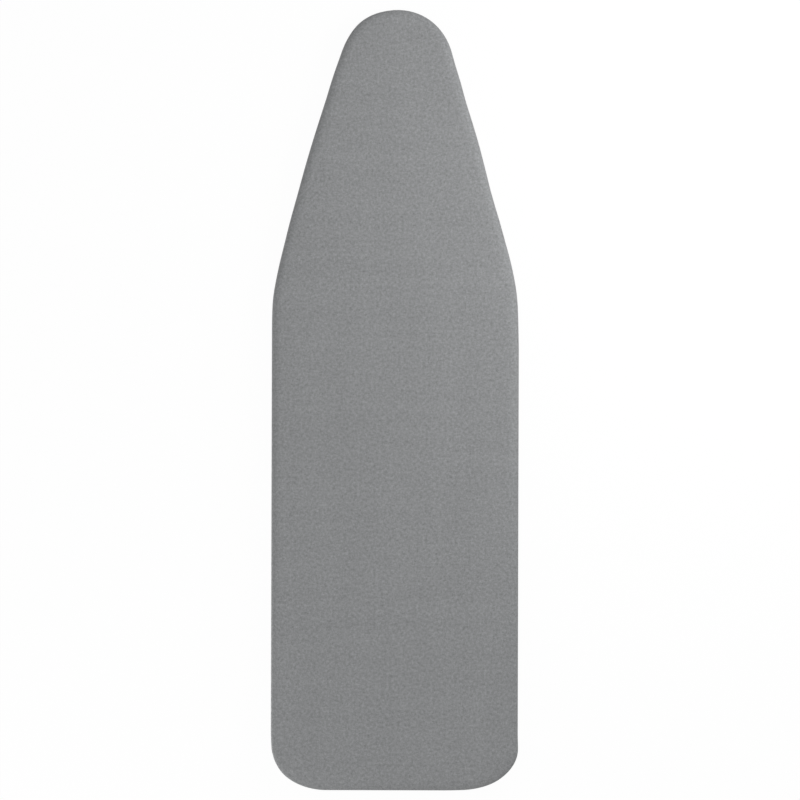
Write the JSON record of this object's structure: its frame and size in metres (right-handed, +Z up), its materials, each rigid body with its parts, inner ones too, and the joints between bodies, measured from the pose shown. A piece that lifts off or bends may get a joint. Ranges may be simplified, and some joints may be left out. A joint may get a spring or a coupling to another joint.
{
  "type": "ironing board cover",
  "caption": "Fitted padded ironing board cover: grey coated cotton over foam and felt, rounded nose, gathered elastic hem, and hook-and-loop straps across its underside.",
  "frame": {"origin": "middle of the cover's footprint, at the turned edge that it lies on", "axes": "+Y along the cover towards its nose, +Z up out of the ironing face, +X to the right"},
  "size_m": [0.38, 1.2, 0.0352],
  "materials": {
    "coated_cotton": "matte",
    "foam": "matte",
    "felt": "matte",
    "binding_tape": "matte",
    "elastic": "matte",
    "strap_webbing": "matte",
    "hook_tape": "satin",
    "loop_tape": "matte"
  },
  "bodies": {
    "root": {"cover_fabric": "coated_cotton", "foam_pad": "foam", "felt_pad": "felt", "hem_binding": "binding_tape", "hem_elastic": "elastic", "strap_nose_anchor": "strap_webbing", "strap_nose_loop_tape": "loop_tape", "strap_middle_anchor": "strap_webbing", "strap_middle_loop_tape": "loop_tape", "strap_tail_anchor": "strap_webbing", "strap_tail_loop_tape": "loop_tape"},
    "strap_nose": {"strap_nose_webbing": "strap_webbing"},
    "tab_nose": {"strap_nose_tab": "strap_webbing", "strap_nose_hook_tape": "hook_tape"},
    "strap_middle": {"strap_middle_webbing": "strap_webbing"},
    "tab_middle": {"strap_middle_tab": "strap_webbing", "strap_middle_hook_tape": "hook_tape"},
    "strap_tail": {"strap_tail_webbing": "strap_webbing"},
    "tab_tail": {"strap_tail_tab": "strap_webbing", "strap_tail_hook_tape": "hook_tape"}
  },
  "joints": [
    {"name": "strap_nose_swing", "type": "hinge", "parent": "root", "child": "strap_nose", "pos_m": [0.09623, 0.27, 0.0007], "axis": [0, -1, 0], "range_deg": [0, 150]},
    {"name": "strap_nose_peel", "type": "hinge", "parent": "strap_nose", "child": "tab_nose", "pos_m": [-0.10553, 0.27, 0.0007], "axis": [0, -1, 0], "range_deg": [0, 100]},
    {"name": "strap_middle_swing", "type": "hinge", "parent": "root", "child": "strap_middle", "pos_m": [0.11985, -0.05, 0.0007], "axis": [0, -1, 0], "range_deg": [0, 150]},
    {"name": "strap_middle_peel", "type": "hinge", "parent": "strap_middle", "child": "tab_middle", "pos_m": [-0.12915, -0.05, 0.0007], "axis": [0, -1, 0], "range_deg": [0, 100]},
    {"name": "strap_tail_swing", "type": "hinge", "parent": "root", "child": "strap_tail", "pos_m": [0.11985, -0.37, 0.0007], "axis": [0, -1, 0], "range_deg": [0, 150]},
    {"name": "strap_tail_peel", "type": "hinge", "parent": "strap_tail", "child": "tab_tail", "pos_m": [-0.12915, -0.37, 0.0007], "axis": [0, -1, 0], "range_deg": [0, 100]}
  ]
}
